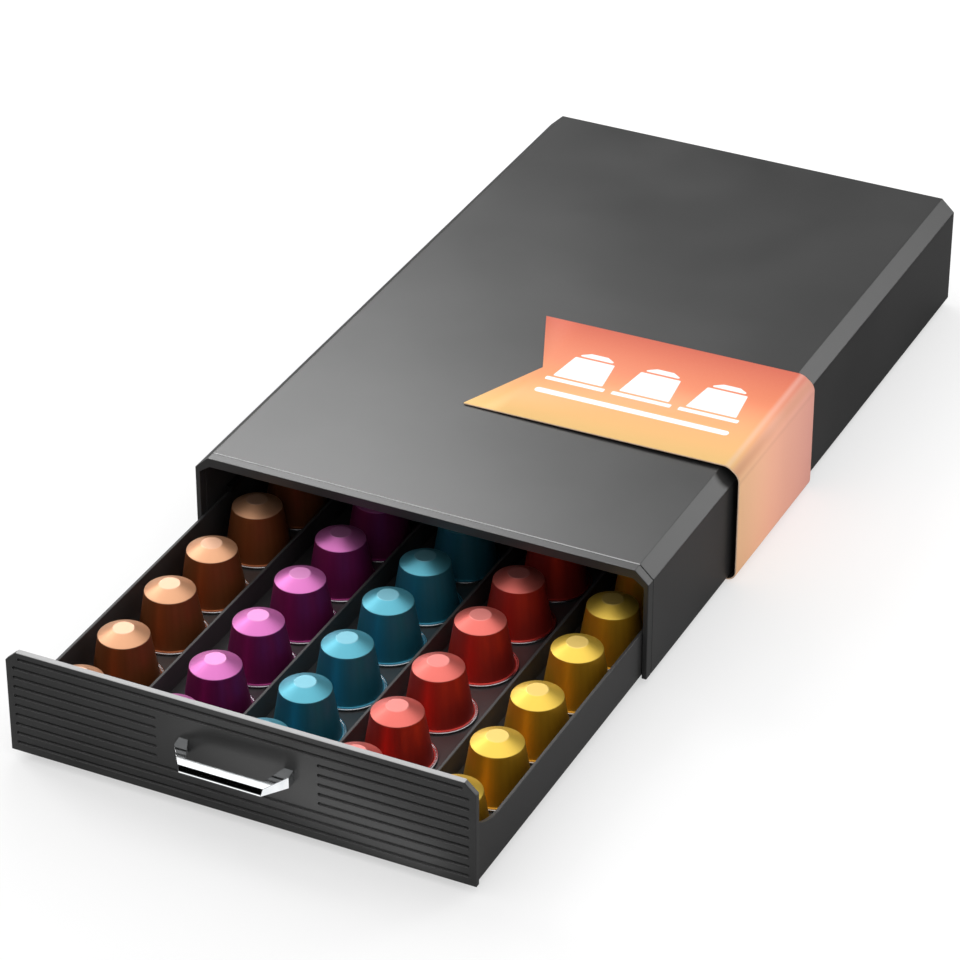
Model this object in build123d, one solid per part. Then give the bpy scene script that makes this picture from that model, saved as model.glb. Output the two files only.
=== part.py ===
from build123d import *
import os
from math import sqrt

# Coffee capsule drawer: a low flat case with one wide drawer that holds capsules upright in
# five lanes, and a loose printed card band hooked round the right side of the case.
# All sizes are in millimetres. +X is to the right, +Y is to the rear, +Z is up. The origin is
# the centre of the whole footprint, on the surface that the feet stand on. The drawer is
# drawn pulled out by open_now.

# Capsule: an aluminium cup, foil side down
flange_dia = 37.0
flange_thick = 0.9
foil_margin = 0.7
foil_thick = 0.3
capsule_height = 29.1
flange_ledge = 2.2
shoulder_dia = 24.7
crown_dia = 10.0
cone_height = 3.7
cup_wall = 0.5
shoulder_round = 0.9

# Lanes, from left to right, and how the capsules stand in them. The shifts are to the right of
# the lane's middle: the front capsule's first, then how much is added for each row behind it.
lane_rows = 10
filled_rows = 8
row_play = 2.87
inner_lane_play = 10.8
outer_lane_play = 3.7
divider_thick = 1.6
divider_height = 13.0
divider_tab_height = 6.0
divider_edge_round = 0.4
lane_names = ["copper", "magenta", "turquoise", "red", "gold"]
lane_end_play = 0.05
first_shift = [-2.4, 2.35, -1.3, -4.8, 0.2]
row_shift = [0.65, 0.6, 0.65, 0.8, 0.7]
free_run = [
    [3.5, 4.0, 5.0, 2.3, 7.0, 1.6, 2.9, 3.4],
    [2.0, 2.2, 2.9, 3.1, 3.2, 2.2, 4.1, 1.9],
    [3.2, 2.8, 2.8, 3.2, 0.6, 4.6, 3.0, 2.7],
    [5.0, 2.6, 2.9, 5.4, 2.7, 2.6, 1.4, 3.8],
    [2.6, 3.6, 3.3, 5.6, 2.7, 1.7, 3.3, 2.1],
]

# Drawer tray
tray_wall = 1.6
tray_floor = 1.5
tray_front_wall = 2.0
tray_back_wall = 1.6
tray_wall_height = 23.9
tray_edge_round = 0.4
gusset_rise = 8.6
gusset_length = 21.0
gusset_sag = 1.8
stop_ear_width = 4.4
stop_ear_rise = 7.0
fit_gap = 0.1

# Front panel with its recessed channels
panel_thick = 2.8
panel_height = 54.8
panel_inset = 2.0
panel_lift = 0.5
panel_cut_x = 6.0
panel_cut_z = 5.5
panel_edge_round = 0.4
channel_count = 10
channel_pitch = 5.12
channel_width = 1.9
channel_depth = 0.9
channel_margin = 3.3
channel_low_z = 5.0
plain_zone_half = 40.5
plain_zone_first = 4
plain_zone_last = 8

# Fixed pull handle. From above it has two short legs, two sloped corners and a front bar.
# From the side its top falls towards a leaning face that ends in an upright lip.
handle_half_width = 28.9
handle_reach = 15.5
handle_leg = 4.7
handle_straight = 4.5
handle_bar_half = 20.7
handle_bar_inner_half = 19.4
handle_finger_depth = 10.4
handle_low_z = 28.2
handle_height = 6.8
handle_top_fall = 3.0
handle_lip_height = 1.3
handle_face_lean = 0.85

# Case
case_height = 59.2
case_wall = 2.5
roof_thick = 3.0
edge_cut_x = 7.1
edge_cut_z = 6.7
edge_round = 0.5
side_gap = 0.3
bezel_depth = 5.5
bezel_roof_thick = 4.8
bezel_edge_round = 0.35
bezel_tongue = 7.0
bezel_tongue_thick = 1.6
seam_gap = 0.15
seam_round = 0.45
base_thick = 1.2
base_setback = 3.0
base_flange_height = 12.0
base_tab_length = 1.3
base_tab_width = 20.0
base_tabs_per_side = 4
slide_gap = 0.3
rear_thick = 2.5
rear_boss = 10.0
rear_boss_depth = 12.0
rear_boss_drop = 10.2
lower_screw_spread = 70.0

# Rails, stops, bumpers and feet
rail_width = 3.3
rail_height = 3.0
rail_gap = 0.4
rail_start = 24.0
stop_width = 8.7
stop_height = 5.6
stop_length = 10.0
bumper_dia = 8.0
bumper_thick = 2.1
bumper_spread = 60.0
bumper_centre_z = 19.0
foot_dia = 12.0
foot_height = 4.0
foot_inset_x = 14.0
foot_inset_y = 20.0

# Screws
screw_dia = 3.0
screw_head_dia = 5.6
screw_head_height = 2.0
screw_seat = 0.02
screw_clearance = 0.15
panel_screw_bite = 1.5
panel_screw_z = 13.3
handle_screw_bite = 4.4
countersink_height = 1.4
rear_screw_bite = 8.0
lower_screw_tip = 0.5

# Card band
card_thick = 0.7
band_width = 96.5
band_setback = 99.5
band_tail_x = -24.0
band_notch_x = -3.5
band_tip_width = 0.4
band_top_gap = 0.3
band_side_gap = 3.0
band_under_gap = 2.4
band_under_leg = 30.0
band_top_rise = 1.6
band_leg_rise = 2.1
band_top_round = 7.0
band_low_round = 5.0
band_cut_x = 6.5
band_cut_z = 5.0

# Travel
open_now = 174.6
open_most = 320.0
closed_gap = 0.3
stop_gap = 0.3

# Places worked out across the object, from its middle to its sides
lane_count = len(lane_names)
inner_lane_count = lane_count - 2
divider_count = lane_count - 1
inner_lane = flange_dia + inner_lane_play
outer_lane = flange_dia + outer_lane_play
lane_pitch = inner_lane + divider_thick
tray_inner_half = (inner_lane_count * inner_lane + divider_count * divider_thick) / 2 + outer_lane
tray_half = tray_inner_half + tray_wall
case_inner_half = tray_half + side_gap
case_half = case_inner_half + case_wall
panel_half = case_half - panel_inset
divider_x = [(i - (divider_count - 1) / 2) * lane_pitch for i in range(divider_count)]
inner_lane_x = [(i - (inner_lane_count - 1) / 2) * lane_pitch for i in range(inner_lane_count)]
outer_lane_x = tray_inner_half - outer_lane / 2
lane_x = [-outer_lane_x, *inner_lane_x, outer_lane_x]
lane_play = [outer_lane_play, *[inner_lane_play] * inner_lane_count, outer_lane_play]
rail_inner_x = case_inner_half - rail_width
stop_inner_x = case_inner_half - stop_width

# Places worked out up from the floor
case_low = foot_height
case_top = case_low + case_height
roof_under = case_top - roof_thick
base_top = case_low + base_thick
tray_low = base_top + slide_gap
lane_floor = tray_low + tray_floor
tray_wall_top = tray_low + tray_wall_height
divider_top = lane_floor + divider_height
panel_low = case_low + panel_lift
panel_top = panel_low + panel_height
handle_low = case_low + handle_low_z
handle_z = handle_low + handle_height / 2
rail_low = tray_wall_top + rail_gap
rail_top = rail_low + rail_height

# Places worked out from front to rear
tray_inner_length = lane_rows * (flange_dia + row_play)
tray_length = tray_front_wall + tray_inner_length + tray_back_wall
case_depth = tray_length + bumper_thick + rear_thick
overall_depth = handle_reach + panel_thick + closed_gap + open_now + case_depth
case_back_y = overall_depth / 2
case_front_y = case_back_y - case_depth
rear_inner_y = case_back_y - rear_thick
panel_back_y = case_front_y - closed_gap - open_now
panel_front_y = panel_back_y - panel_thick
tray_front_y = panel_back_y
lane_front_y = tray_front_y + tray_front_wall
lane_back_y = lane_front_y + tray_inner_length
tray_back_y = lane_back_y + tray_back_wall
shell_front_y = case_front_y + bezel_depth + seam_gap
stop_back_y = lane_back_y - (open_most - open_now) - stop_gap
band_front_y = case_front_y + band_setback
band_back_y = band_front_y + band_width


def block(x, y, z):
    """A box between a low and a high limit along each axis."""
    centre = [(low + high) / 2 for low, high in (x, y, z)]
    size = [high - low for low, high in (x, y, z)]
    return Pos(*centre) * Box(*size)


def face_xz(outline):
    """A flat face from an outline of (x, z) points."""
    return make_face(Polyline(*[(x, 0, z) for x, z in outline], close=True))


def along_y(face, y):
    """A prism of a face in the XZ plane between two stations along Y."""
    return Pos(0, y[0], 0) * extrude(face, amount=y[1] - y[0], dir=(0, 1, 0))


def rod_y(x, z, dia, y):
    """A round rod between two stations along Y."""
    middle = (y[0] + y[1]) / 2
    return Pos(x, middle, z) * Rot(90, 0, 0) * Cylinder(dia / 2, y[1] - y[0])


def cone_y(x, z, near_dia, far_dia, y):
    """A cone between two stations along Y, with a diameter at each."""
    middle = (y[0] + y[1]) / 2
    return Pos(x, middle, z) * Rot(-90, 0, 0) * Cone(near_dia / 2, far_dia / 2, y[1] - y[0])


def inner_cut(cut, thickness):
    """The corner cut of an inner outline that keeps the wall even round a sloped corner."""
    return cut - (2 - sqrt(2)) * thickness


def hood_outline(half, top, cut_x, cut_z, low):
    """An arch with straight sides, a flat top and two cut corners."""
    right = [(half, low), (half, top - cut_z), (half - cut_x, top)]
    return right + [(-x, z) for x, z in reversed(right)]


def above_base(edge):
    """Whether an edge lies above the open underside of the hood."""
    return edge.center().Z > case_low + fit_gap


def hood(roof, y, seam_end):
    """The hood's section between two stations along Y, open below, with a soft seam at one end."""
    outer = face_xz(hood_outline(case_half, case_top, edge_cut_x, edge_cut_z, case_low))
    outer = fillet(outer.vertices().sort_by(Axis.Z)[2:], edge_round)
    solid = along_y(outer, y)
    seam_edges = solid.edges().group_by(Axis.Y)[seam_end]
    solid = fillet(seam_edges.filter_by(above_base), seam_round)
    inner = hood_hollow(roof, case_low - case_wall)
    return solid - along_y(inner, y)


def hood_hollow(roof, low, clearance=0.0):
    """The face of the space inside the hood, down to a given level."""
    cut_x = inner_cut(edge_cut_x, case_wall)
    cut_z = inner_cut(edge_cut_z, roof)
    top = case_top - roof - clearance
    return face_xz(hood_outline(case_inner_half - clearance, top, cut_x, cut_z, low))


def sides(piece):
    """A piece on the right and its mirror image on the left."""
    return {"right": piece, "left": mirror(piece, Plane.YZ)}


def group(solids):
    """Separate solids kept together under one name."""
    return Compound(children=[piece.solid() for piece in solids])


# Case

def base_tab_stations():
    """Where the base plate's side tabs stand along the case."""
    spacing = case_depth / base_tabs_per_side
    return [case_front_y + (i + 0.5) * spacing for i in range(base_tabs_per_side)]


def base_tab(y, gap):
    """One side tab of the base plate, grown by a gap where it is a pocket."""
    x = (case_inner_half - case_wall, case_inner_half + base_tab_length - fit_gap + gap)
    half = base_tab_width / 2 + gap
    return block(x, (y - half, y + half), (case_low, base_top + gap))


def rear_screw_places():
    """The x and z of the rear panel's upper and lower screws on the right side."""
    upper = (case_inner_half - rear_boss / 2, roof_under - rear_boss_drop)
    lower = (lower_screw_spread, base_top + base_flange_height / 2)
    return {"upper": upper, "lower": lower}


def case_shell():
    """The moulded hood behind the bezel, with bosses for the rear panel's upper screws."""
    shell = hood(roof_thick, (shell_front_y, case_back_y), seam_end=0)
    screw_x, screw_z = rear_screw_places()["upper"]
    boss = block(
        (case_inner_half - rear_boss, case_inner_half),
        (rear_inner_y - rear_boss_depth, rear_inner_y),
        (screw_z - rear_boss / 2, screw_z + rear_boss / 2),
    )
    hole = rod_y(
        screw_x,
        screw_z,
        screw_dia + 2 * screw_seat,
        (rear_inner_y - rear_screw_bite - fit_gap, rear_inner_y),
    )
    for solid in sides(boss).values():
        shell += solid
    for solid in sides(hole).values():
        shell -= solid
    for y in base_tab_stations():
        for solid in sides(base_tab(y, fit_gap)).values():
            shell -= solid
    return shell


def front_bezel():
    """The frame round the drawer opening, with a tongue that laps under the roof."""
    bezel = hood(bezel_roof_thick, (case_front_y, case_front_y + bezel_depth), seam_end=-1)
    front_edges = bezel.edges().group_by(Axis.Y)[0]
    bezel = fillet(front_edges.filter_by(above_base), bezel_edge_round)
    tongue_half = case_inner_half - edge_cut_x
    tongue_top = roof_under - fit_gap
    tongue = block(
        (-tongue_half, tongue_half),
        (case_front_y + bezel_depth, case_front_y + bezel_depth + bezel_tongue),
        (tongue_top - bezel_tongue_thick, tongue_top),
    )
    return bezel + tongue


def base_plate():
    """The sheet that closes the hood from below, with side tabs and a rear flange."""
    half = case_inner_half - fit_gap
    front = case_front_y + base_setback
    plate = block((-half, half), (front, rear_inner_y), (case_low, base_top))
    plate += block(
        (-half, half),
        (rear_inner_y - base_thick, rear_inner_y),
        (case_low, base_top + base_flange_height),
    )
    for y in base_tab_stations():
        for solid in sides(base_tab(y, 0.0)).values():
            plate += solid
    screw_x, screw_z = rear_screw_places()["lower"]
    bore = screw_dia + 2 * screw_seat
    hole = rod_y(screw_x, screw_z, bore, (rear_inner_y - 2 * base_thick, rear_inner_y + base_thick))
    for solid in sides(hole).values():
        plate -= solid
    return plate


def rear_panel():
    """The flat panel that closes the back, with countersunk screw holes."""
    panel = along_y(hood_hollow(roof_thick, case_low, fit_gap), (rear_inner_y, case_back_y))
    clearance = 2 * screw_clearance
    for x, z in rear_screw_places().values():
        hole = rod_y(x, z, screw_dia + clearance, (rear_inner_y - base_thick, case_back_y))
        hole += cone_y(
            x,
            z,
            screw_dia + clearance,
            screw_head_dia + clearance,
            (case_back_y - countersink_height, case_back_y),
        )
        for solid in sides(hole).values():
            panel -= solid
    return panel


def rear_screw(x, z, bite):
    """One countersunk screw, flush with the back of the case."""
    head = cone_y(x, z, screw_dia, screw_head_dia, (case_back_y - countersink_height, case_back_y))
    return head + rod_y(x, z, screw_dia, (rear_inner_y - bite, case_back_y - countersink_height))


def rear_screws():
    """The four screws of the rear panel."""
    places = rear_screw_places()
    upper = rear_screw(*places["upper"], rear_screw_bite)
    lower = rear_screw(*places["lower"], base_thick + lower_screw_tip)
    return group([*sides(upper).values(), *sides(lower).values()])


def guide_rail():
    """The right rail that keeps the pulled-out drawer from tipping."""
    return block(
        (rail_inner_x, case_inner_half),
        (case_front_y + rail_start, rear_inner_y - fit_gap),
        (rail_low, rail_top),
    )


def drawer_stop():
    """The right block that the tray's ear meets when the drawer is fully out."""
    return block(
        (stop_inner_x, case_inner_half),
        (stop_back_y - stop_length, stop_back_y),
        (rail_top, rail_top + stop_height),
    )


def bumper():
    """The right rubber bumper that the closed drawer rests against."""
    z = case_low + bumper_centre_z
    return rod_y(bumper_spread, z, bumper_dia, (rear_inner_y - bumper_thick, rear_inner_y))


def foot(end):
    """The right rubber foot at the front or the rear end of the case."""
    front = case_front_y + foot_inset_y
    y = front if end == "front" else case_back_y - foot_inset_y
    return Pos(case_half - foot_inset_x, y, foot_height / 2) * Cylinder(foot_dia / 2, foot_height)


# Drawer

def gusset():
    """The rise of the right side wall where it meets the front panel."""
    front = tray_front_y
    back = tray_front_y + gusset_length
    low = tray_wall_top - tray_wall
    start = (front, tray_wall_top + gusset_rise)
    end = (back, tray_wall_top)
    outline = SagittaArc(start, end, -gusset_sag) + Polyline(end, (back, low), (front, low), start)
    face = Plane.YZ.offset(tray_inner_half) * make_face(outline)
    return extrude(face, amount=tray_wall, dir=(1, 0, 0))


def drawer_tray():
    """Floor, side walls, front and back wall of the drawer in one moulding."""
    tray = block((-tray_half, tray_half), (tray_front_y, tray_back_y), (tray_low, tray_wall_top))
    tray -= block(
        (-tray_inner_half, tray_inner_half),
        (lane_front_y, lane_back_y),
        (lane_floor, tray_wall_top + tray_wall),
    )
    rim = tray.edges().filter_by(Axis.Y).group_by(Axis.Z)[-1]
    tray = fillet(rim, tray_edge_round)
    ear = block(
        (stop_inner_x, stop_inner_x + stop_ear_width),
        (lane_back_y, tray_back_y),
        (tray_wall_top - tray_wall, tray_wall_top + stop_ear_rise),
    )
    for solid in [*sides(gusset()).values(), *sides(ear).values()]:
        tray += solid
    for x in divider_x:
        tray -= divider_slot(x)
    for x in panel_screw_x():
        hole_dia = screw_dia + 2 * screw_clearance
        tray -= rod_y(x, case_low + panel_screw_z, hole_dia, (tray_front_y, lane_front_y))
    return tray


def divider_slot(x):
    """The slots in the front and back wall that hold one divider's end tabs."""
    half = divider_thick / 2 + fit_gap
    low = divider_tab_low() - fit_gap
    height = divider_tab_height + 2 * fit_gap
    return block((x - half, x + half), (tray_front_y, tray_back_y), (low, low + height))


def divider_tab_low():
    """The underside of the dividers' end tabs."""
    return lane_floor + (divider_height - divider_tab_height) / 2


def lane_divider(x):
    """One upright divider strip, with a tab at each end."""
    half = divider_thick / 2
    web = block(
        (x - half, x + half),
        (lane_front_y + fit_gap, lane_back_y - fit_gap),
        (lane_floor, divider_top),
    )
    web = fillet(web.edges().filter_by(Axis.Y).group_by(Axis.Z)[-1], divider_edge_round)
    tab = block(
        (x - half, x + half),
        (tray_front_y + fit_gap, tray_back_y - fit_gap),
        (divider_tab_low(), divider_tab_low() + divider_tab_height),
    )
    return web + tab


def panel_screw_x():
    """The places of the four panel screws, one in the middle of each lane but the third."""
    return [x for x in lane_x if x]


def channel_end(z):
    """How far from the middle a channel at one height reaches, clear of the cut corners."""
    above_cut = z + channel_width / 2 - (panel_top - panel_cut_z)
    corner_loss = max(0.0, above_cut * panel_cut_x / panel_cut_z)
    return panel_half - channel_margin - corner_loss


def channels():
    """The recessed channels of the front panel, with a plain zone behind the handle."""
    cutters = []
    for i in range(channel_count):
        z = panel_low + channel_low_z + i * channel_pitch
        end = channel_end(z)
        if plain_zone_first <= i + 1 <= plain_zone_last:
            length = end - plain_zone_half
            middle = (end + plain_zone_half) / 2
            runs = [(-middle, length), (middle, length)]
        else:
            runs = [(0.0, 2 * end)]
        for x, length in runs:
            place = Plane((x, panel_front_y, z), x_dir=(1, 0, 0), z_dir=(0, -1, 0))
            slot = place * SlotOverall(length, channel_width)
            cutters.append(extrude(slot, amount=-channel_depth))
    return cutters


def front_panel():
    """The drawer's front: cut top corners, recessed channels and screw holes."""
    outline = hood_outline(panel_half, panel_top, panel_cut_x, panel_cut_z, panel_low)
    panel = along_y(face_xz(outline), (panel_front_y, panel_back_y))
    panel = fillet(panel.edges().group_by(Axis.Y)[0], panel_edge_round)
    for cutter in channels():
        panel -= cutter
    for x in panel_screw_x():
        bore = screw_dia + 2 * screw_seat
        deep = panel_back_y - panel_screw_bite - fit_gap
        panel -= rod_y(x, case_low + panel_screw_z, bore, (deep, panel_back_y))
    for x in handle_leg_x():
        bore = screw_dia + 2 * screw_clearance
        panel -= rod_y(x, handle_z, bore, (panel_front_y - panel_thick, panel_back_y))
    return panel


def panel_screws():
    """The screws that hold the panel, their heads inside the lanes."""
    z = case_low + panel_screw_z
    tip = panel_back_y - panel_screw_bite
    screws = []
    for x in panel_screw_x():
        head = rod_y(x, z, screw_head_dia, (lane_front_y, lane_front_y + screw_head_height))
        screws.append(head + rod_y(x, z, screw_dia, (tip, lane_front_y)))
    return group(screws)


def handle_leg_x():
    """The middle of each handle leg."""
    middle = handle_half_width - handle_leg / 2
    return [-middle, middle]


def handle():
    """The pull: a bent bar whose top falls to a leaning face with an upright lip."""
    root = panel_front_y
    tip = root - handle_reach
    right = [
        (handle_half_width - handle_leg, root),
        (handle_half_width, root),
        (handle_half_width, root - handle_straight),
        (handle_bar_half, tip),
    ]
    inner_y = root - handle_finger_depth
    inner = [(-handle_bar_inner_half, inner_y), (handle_bar_inner_half, inner_y)]
    plan = right + [(-x, y) for x, y in reversed(right)] + inner
    high = handle_low + handle_height
    side = [
        (root, handle_low),
        (tip, handle_low),
        (tip, handle_low + handle_lip_height),
        (tip + handle_face_lean, high - handle_top_fall),
        (root, high),
    ]
    plan_face = make_face(Polyline(*[(x, y, handle_low) for x, y in plan], close=True))
    side_face = Plane.YZ.offset(-handle_half_width) * make_face(Polyline(*side, close=True))
    bar = extrude(plan_face, amount=handle_height, dir=(0, 0, 1))
    bar &= extrude(side_face, amount=2 * handle_half_width, dir=(1, 0, 0))
    for x in handle_leg_x():
        bore = screw_dia + 2 * screw_seat
        bar -= rod_y(x, handle_z, bore, (root - handle_screw_bite - fit_gap, root))
    return bar


def handle_screws():
    """The two screws that hold the handle from behind the panel."""
    screws = []
    for x in handle_leg_x():
        head = rod_y(x, handle_z, screw_head_dia, (panel_back_y, panel_back_y + screw_head_height))
        tip = panel_front_y - handle_screw_bite
        screws.append(head + rod_y(x, handle_z, screw_dia, (tip, panel_back_y)))
    return group(screws)


# Capsules

def cup():
    """One capsule's aluminium cup, on its foil, at the origin."""
    flange_r = flange_dia / 2
    base_r = flange_dia / 2 - flange_ledge
    shoulder_r = shoulder_dia / 2
    crown_r = crown_dia / 2
    flange_top = foil_thick + flange_thick
    shoulder_z = capsule_height - cone_height
    rim_r = flange_thick / 2
    outer = Polyline(
        (flange_r - rim_r, 0, flange_top),
        (base_r, 0, flange_top),
        (shoulder_r, 0, shoulder_z),
        (crown_r, 0, capsule_height),
        (0, 0, capsule_height),
    )
    inner = Polyline(
        (0, 0, capsule_height),
        (0, 0, capsule_height - cup_wall),
        (crown_r, 0, capsule_height - cup_wall),
        (shoulder_r - cup_wall, 0, shoulder_z - cup_wall),
        (base_r - cup_wall, 0, foil_thick),
        (flange_r - rim_r, 0, foil_thick),
    )
    rim = ThreePointArc(
        (flange_r - rim_r, 0, foil_thick),
        (flange_r, 0, foil_thick + rim_r),
        (flange_r - rim_r, 0, flange_top),
    )
    shape = revolve(make_face(outer + inner + rim), Axis.Z)
    shoulders = shape.edges().filter_by(GeomType.CIRCLE)
    shoulders = shoulders.filter_by(lambda edge: abs(edge.radius - shoulder_r) < cup_wall / 2)
    return fillet(shoulders, shoulder_round)


def foil():
    """One capsule's foil lid, at the origin."""
    return Pos(0, 0, foil_thick / 2) * Cylinder(flange_dia / 2 - foil_margin, foil_thick)


def capsule_places(lane):
    """Where the capsules of one lane stand: each a short free run behind the one before it.

    From the front to the back they wander to the right, as far as the lane lets them.
    """
    most = lane_play[lane] / 2 - lane_end_play
    places = []
    front = lane_front_y
    for row, run in enumerate(free_run[lane][:filled_rows]):
        front += run
        shift = first_shift[lane] + row * row_shift[lane]
        x = lane_x[lane] + max(-most, min(most, shift))
        places.append((x, front + flange_dia / 2, lane_floor))
        front += flange_dia
    return places


# Card band

def band_path(inset):
    """The band's bent line at an inset from its outer skin, from tail to under leg.

    The springy card rests on the roof at its tail and under the case at its leg, and bows
    clear of the case between them.
    """
    tail = case_top + band_top_gap + card_thick - inset
    top = tail + band_top_rise
    side = case_half + band_side_gap + card_thick - inset
    low = case_low - band_under_gap - card_thick + inset
    cut_x = inner_cut(band_cut_x, inset)
    cut_z = inner_cut(band_cut_z, inset)
    leg_end = (case_half - band_under_leg, low + band_leg_rise)
    points = [(band_tail_x, tail), (side - cut_x, top), (side, top - cut_z), (side, low), leg_end]
    radii = [band_top_round - inset, band_top_round - inset, band_low_round - inset]
    return FilletPolyline(*[(x, 0, z) for x, z in points], radius=radii)


def card_band():
    """The card band with its swallowtail end."""
    outer = band_path(0.0)
    inner = band_path(card_thick)
    ends = [Line(outer @ 0, inner @ 0), Line(outer @ 1, inner @ 1)]
    face = make_face([*outer.edges(), *inner.edges(), *ends])
    band = along_y(face, (band_front_y, band_back_y))
    middle_y = (band_front_y + band_back_y) / 2
    tail = [
        (band_tail_x - card_thick, band_front_y + band_tip_width),
        (band_notch_x, middle_y),
        (band_tail_x - card_thick, band_back_y - band_tip_width),
    ]
    notch = extrude(
        make_face(Polyline(*[(x, y, case_top) for x, y in tail], close=True)),
        amount=band_top_gap + band_top_rise + 2 * card_thick,
    )
    return band - notch


def nodes():
    """Every piece of the object under its name."""
    pieces = {
        "case_shell": case_shell(),
        "front_bezel": front_bezel(),
        "base_plate": base_plate(),
        "rear_panel": rear_panel(),
        "rear_screws": rear_screws(),
        "drawer_tray": drawer_tray(),
        "front_panel": front_panel(),
        "panel_screws": panel_screws(),
        "handle": handle(),
        "handle_screws": handle_screws(),
        "card_band": card_band(),
    }
    for side, piece in sides(guide_rail()).items():
        pieces[f"rail_{side}"] = piece
    for side, piece in sides(drawer_stop()).items():
        pieces[f"stop_{side}"] = piece
    for side, piece in sides(bumper()).items():
        pieces[f"bumper_{side}"] = piece
    for end in ("front", "rear"):
        for side, piece in sides(foot(end)).items():
            pieces[f"foot_{end}_{side}"] = piece
    for i, x in enumerate(divider_x):
        pieces[f"divider_{i + 1}"] = lane_divider(x)
    one_cup = cup()
    one_foil = foil()
    for lane, colour in enumerate(lane_names):
        places = capsule_places(lane)
        pieces[f"cups_{colour}"] = group([Pos(*place) * one_cup for place in places])
        pieces[f"foils_{colour}"] = group([Pos(*place) * one_foil for place in places])
    return pieces


os.makedirs("parts", exist_ok=True)
for name, piece in nodes().items():
    export_step(piece, f"parts/{name}.step")
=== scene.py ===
from math import atan2, cos, pi, radians, sin, tan

import bmesh
import bpy
from mathutils import Matrix, Vector


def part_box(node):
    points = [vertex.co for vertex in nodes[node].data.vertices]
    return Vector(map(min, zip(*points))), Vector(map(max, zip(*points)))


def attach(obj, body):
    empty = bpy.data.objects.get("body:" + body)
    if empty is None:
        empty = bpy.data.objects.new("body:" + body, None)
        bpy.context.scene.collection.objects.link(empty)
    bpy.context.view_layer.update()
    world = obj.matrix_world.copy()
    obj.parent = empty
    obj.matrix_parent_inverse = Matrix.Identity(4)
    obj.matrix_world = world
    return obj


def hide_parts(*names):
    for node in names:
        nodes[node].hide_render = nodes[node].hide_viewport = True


# The looks of the coffee capsule drawer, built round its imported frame.
# Lengths are in metres. A size written in millimetres is multiplied by mm.
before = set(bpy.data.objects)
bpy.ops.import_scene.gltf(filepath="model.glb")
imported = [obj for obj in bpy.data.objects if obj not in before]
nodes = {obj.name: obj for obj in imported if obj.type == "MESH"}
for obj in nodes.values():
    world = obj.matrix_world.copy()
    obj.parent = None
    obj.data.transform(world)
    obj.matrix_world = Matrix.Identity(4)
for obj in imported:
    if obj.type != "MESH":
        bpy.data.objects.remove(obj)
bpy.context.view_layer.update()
mm = 0.001

# Capsule, measured across and up from its foil
foil_thick = 0.3 * mm
rim_dia = 0.9 * mm
ledge_width = 2.2 * mm
ledge_dip = 0.35 * mm
shoulder_dia = 24.7 * mm
crown_dia = 10.0 * mm
cone_height = 3.7 * mm
crown_dish = 0.15 * mm
foot_round = 0.6 * mm
shoulder_round = 0.5 * mm
crown_round = 0.25 * mm
# How far the crown's dish is painted towards white, a painted highlight
crown_highlight = 0.08
rim_inner_share = 0.9
ledge_share = 0.3
capsule_segments = 56
weld_gap = 0.001 * mm

# Card band, as its corner is before it is rounded
card_thick = 0.7 * mm
tail_x = -24.0 * mm
notch_x = -3.5 * mm
tip_width = 0.4 * mm
top_gap = 0.3 * mm
side_gap = 3.0 * mm
under_gap = 2.4 * mm
under_leg = 30.0 * mm
top_rise = 1.6 * mm
leg_rise = 2.1 * mm
corner_cut_x = 6.5 * mm
corner_cut_z = 5.0 * mm
corner_round = 7.0 * mm
low_round = 5.0 * mm
fold_width = 2.5 * mm
tan_width = 4.5 * mm
crease_width = 2.4 * mm
side_blend = 5.0 * mm
arc_steps = 10

# Printed motif: a row of plain capsules over a bar
icon_count = 3
icon_pitch = 36.0 * mm
icon_row_x = 54.0 * mm
icon_row_y = -10.0 * mm
icon_flange = 32.0 * mm
icon_base = 27.0 * mm
icon_shoulder = 21.5 * mm
icon_crown = 9.0 * mm
icon_flange_height = 3.2 * mm
icon_body_height = 21.5 * mm
icon_cone_height = 4.2 * mm
icon_gap = 1.6 * mm
icon_round = 0.8 * mm
bar_length = 104.0 * mm
bar_width = 4.4 * mm
bar_drop = 8.5 * mm
bar_round = 0.45 * bar_width
ink_thick = 0.06 * mm

# Channels of the front panel, up from its lower edge, and the painted highlights and shade on panel and case
channel_pitch = 5.12 * mm
channel_low_z = 5.0 * mm
channel_width = 1.9 * mm
channel_depth = 0.9 * mm
bed_share = 0.7
lip_shadow = 1.35 * mm
seam_glint = 0.3 * mm
top_glint = 0.3 * mm

# Handle, from the panel forwards
leg_width = 4.7 * mm
leg_straight = 4.5 * mm
bar_half = 20.7 * mm
bar_inner_half = 19.4 * mm
finger_depth = 10.4 * mm
top_fall = 3.0 * mm
lip_height = 0.9 * mm
face_lean = 0.85 * mm
bore_dia = 3.04 * mm
bore_depth = 4.5 * mm
bore_segments = 24
handle_edge = 0.2 * mm
face_angle = 10

# Screw heads
shank_dia = 3.0 * mm
head_height = 2.0 * mm
sunk_height = 1.4 * mm
head_edge = 0.8 * mm
thread_chamfer = 0.4 * mm
head_round = 0.9 * head_edge
sunk_round = 0.3 * head_edge
recess_arm = 1.6 * mm
recess_width = 0.62 * mm
recess_depth = 1.0 * mm
recess_taper = 0.6
screw_segments = 32

# Rubber feet
foot_edge = 0.6 * mm
foot_hollow_dia = 5.0 * mm
foot_hollow_depth = 0.8 * mm
foot_segments = 40

# Least or most that a face's normal leans along an axis to count as level, upward, forward or square
level_least = 0.95
upward_least = 0.3
forward_most = -0.9
sideways_most = 0.3

# Moulded and painted finishes. An edge is painted paler where its rounded normal leaves the face's own, and
# the dot product of the two falls between the start and full limits below. The paler edge is partly wear,
# partly a painted highlight.
cloud_size = 70.0 * mm
cloud_amount = 0.12
gloss_spread = 0.015
paling_start = 0.99
paling_full = 0.75
paling_amount = 0.6

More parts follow.
